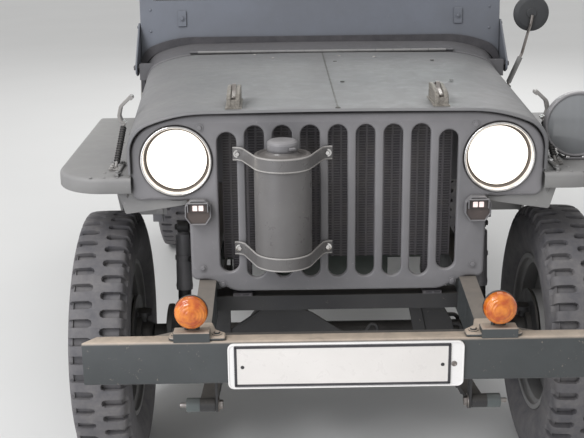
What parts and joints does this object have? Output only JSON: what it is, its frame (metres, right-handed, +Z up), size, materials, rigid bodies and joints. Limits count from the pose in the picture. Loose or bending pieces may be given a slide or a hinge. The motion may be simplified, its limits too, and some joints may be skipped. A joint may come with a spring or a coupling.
{
  "type": "open army 4x4 car",
  "caption": "Small open four-wheel-drive army car: slotted front guard, flat fenders, folding windscreen, opening hood, steered front wheels, spare wheel behind.",
  "frame": {"origin": "on the floor under the middle of the bounding box", "axes": "+X towards the car's left side, where the driver sits, +Y towards its rear, +Z up"},
  "size_m": [1.55, 3.352, 1.73],
  "materials": {
    "olive_paint": "matte",
    "bumper_paint": "matte",
    "black_paint": "satin",
    "engine_paint": "satin",
    "raw_steel": "worn",
    "lamp_glass": "gloss",
    "marker_paint": "matte",
    "amber_lens": "gloss",
    "red_lens": "gloss",
    "plate_white": "satin",
    "tyre_rubber": "matte",
    "canvas": "matte",
    "window_glass": "gloss",
    "hand_rim": "satin",
    "block_wood": "matte"
  },
  "bodies": {
    "chassis": {"frame_rails": "olive_paint", "cross_members": "black_paint", "front_bumper": "bumper_paint", "number_plate": "plate_white", "grille_guard": "olive_paint", "radiator": "black_paint", "coolant_tank": "olive_paint", "headlamps": "lamp_glass", "marker_lamps": "marker_paint", "turn_signals": "amber_lens", "front_fenders": "olive_paint", "body_sides": "olive_paint", "rear_panel": "olive_paint", "floor_pan": "olive_paint", "wheelhouses": "olive_paint", "cowl": "olive_paint", "steering_column": "olive_paint", "front_axle": "black_paint", "rear_axle": "black_paint", "leaf_springs": "black_paint", "dampers": "black_paint", "engine": "engine_paint", "gearbox": "engine_paint", "propshafts": "black_paint", "exhaust": "raw_steel", "fuel_tank": "olive_paint", "seat_frames": "olive_paint", "seat_cushions": "canvas", "mirror": "olive_paint", "grab_handles": "olive_paint", "bow_sockets": "olive_paint", "spare_wheel": "olive_paint", "spare_tyre": "tyre_rubber", "spare_carrier": "olive_paint", "jerry_can": "olive_paint", "can_rack": "olive_paint", "tow_hook": "black_paint", "bumperettes": "olive_paint", "tail_lamps": "red_lens", "drive_lamp": "olive_paint", "hood_catches": "olive_paint"},
    "hood_body": {"hood": "olive_paint", "hood_blocks": "block_wood"},
    "windscreen": {"windscreen_frame": "olive_paint", "windscreen_glass": "window_glass"},
    "hand_wheel": {"steering_wheel": "hand_rim"},
    "knuckle_l": {"knuckle_left": "black_paint"},
    "knuckle_r": {"knuckle_right": "black_paint"},
    "track_rod": {"tie_rod": "black_paint"},
    "road_wheel_fl": {"wheel_front_left": "olive_paint", "tyre_front_left": "tyre_rubber"},
    "road_wheel_fr": {"wheel_front_right": "olive_paint", "tyre_front_right": "tyre_rubber"},
    "road_wheel_rl": {"wheel_rear_left": "olive_paint", "tyre_rear_left": "tyre_rubber"},
    "road_wheel_rr": {"wheel_rear_right": "olive_paint", "tyre_rear_right": "tyre_rubber"}
  },
  "joints": [
    {"name": "hood_hinge", "type": "hinge", "parent": "chassis", "child": "hood_body", "pos_m": [0, -0.334, 1.067], "axis": [-1, 0, 0], "range_deg": [0, 95]},
    {"name": "windscreen_fold", "type": "hinge", "parent": "chassis", "child": "windscreen", "pos_m": [0, -0.31, 1.014], "axis": [-1, 0, 0], "range_deg": [-96, 0]},
    {"name": "steer_left", "type": "hinge", "parent": "chassis", "child": "knuckle_l", "pos_m": [0.54, -1.11, 0.362], "axis": [0, 0, 1], "range_deg": [-26, 26]},
    {"name": "steer_right", "type": "hinge", "parent": "chassis", "child": "knuckle_r", "pos_m": [-0.54, -1.11, 0.362], "axis": [0, 0, 1], "range_deg": [-26, 26]},
    {"name": "track_rod_pivot", "type": "hinge", "parent": "knuckle_l", "child": "track_rod", "pos_m": [0.54, -0.975, 0.2517], "axis": [0, 0, 1], "range_deg": [-26, 26]},
    {"name": "steering_wheel_turn", "type": "hinge", "parent": "chassis", "child": "hand_wheel", "pos_m": [0.296, 0.15, 1.11], "axis": [0, 0.788, 0.6157], "range_deg": [-340, 340]},
    {"name": "roll_fl", "type": "hinge", "parent": "knuckle_l", "child": "road_wheel_fl", "pos_m": [0.6215, -1.11, 0.362], "axis": [1, 0, 0], "continuous": true},
    {"name": "roll_fr", "type": "hinge", "parent": "knuckle_r", "child": "road_wheel_fr", "pos_m": [-0.6215, -1.11, 0.362], "axis": [1, 0, 0], "continuous": true},
    {"name": "roll_rl", "type": "hinge", "parent": "chassis", "child": "road_wheel_rl", "pos_m": [0.6215, 0.922, 0.362], "axis": [1, 0, 0], "continuous": true},
    {"name": "roll_rr", "type": "hinge", "parent": "chassis", "child": "road_wheel_rr", "pos_m": [-0.6215, 0.922, 0.362], "axis": [1, 0, 0], "continuous": true}
  ],
  "couplings": [
    {"joint": "steer_right", "follows": "steer_left", "ratio": 1},
    {"joint": "track_rod_pivot", "follows": "steer_left", "ratio": -1},
    {"joint": "steering_wheel_turn", "follows": "steer_left", "ratio": 13}
  ]
}
